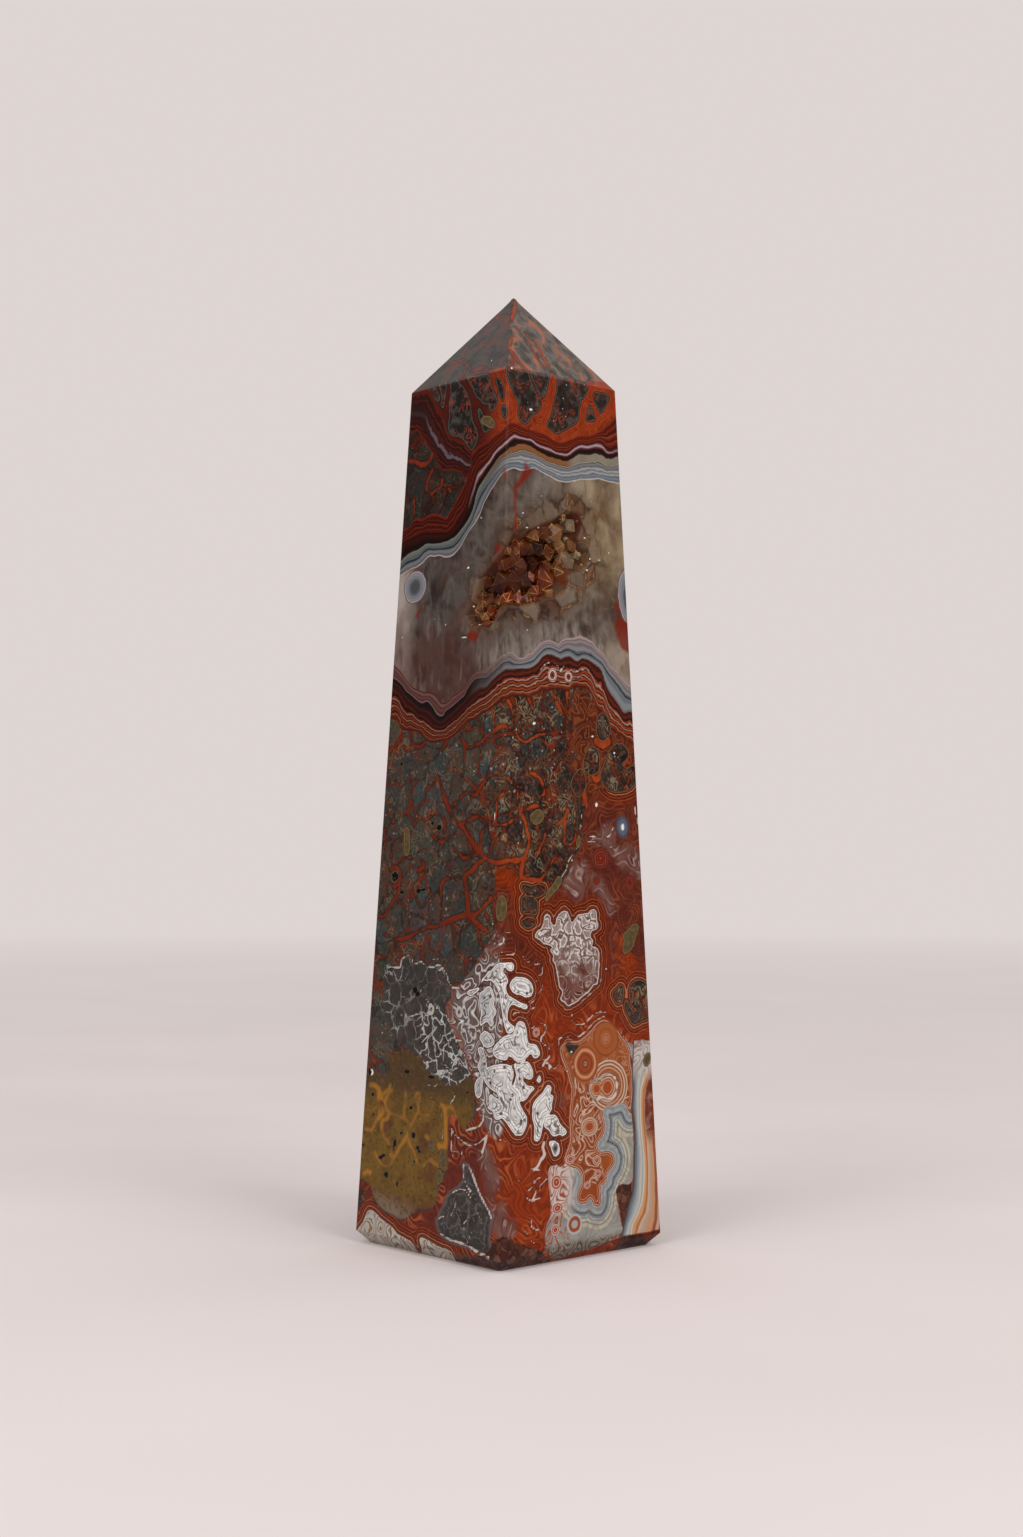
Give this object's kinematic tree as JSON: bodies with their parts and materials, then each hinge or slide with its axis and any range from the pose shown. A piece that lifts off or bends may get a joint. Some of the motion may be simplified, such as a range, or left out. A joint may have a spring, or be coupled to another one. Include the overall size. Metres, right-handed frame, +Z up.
{
  "type": "crazy lace agate tower",
  "caption": "Polished square tapering agate tower with a four-sided point, a bevelled flat foot and a crystal-lined pocket on one corner; stands free as an ornament.",
  "frame": {"origin": "middle of the flat foot that the tower stands on", "axes": "+Z up along the tower to its point; the four faces look along +X, -X, +Y and -Y; the crystal pocket is on the corner between the +X and -Y faces"},
  "size_m": [0.025, 0.025, 0.11],
  "materials": {
    "agate": "polished",
    "stained_quartz": "glossy crystal faces"
  },
  "bodies": {
    "root": {"agate_tower": "agate", "crystal_crust": "stained_quartz"}
  },
  "joints": []
}
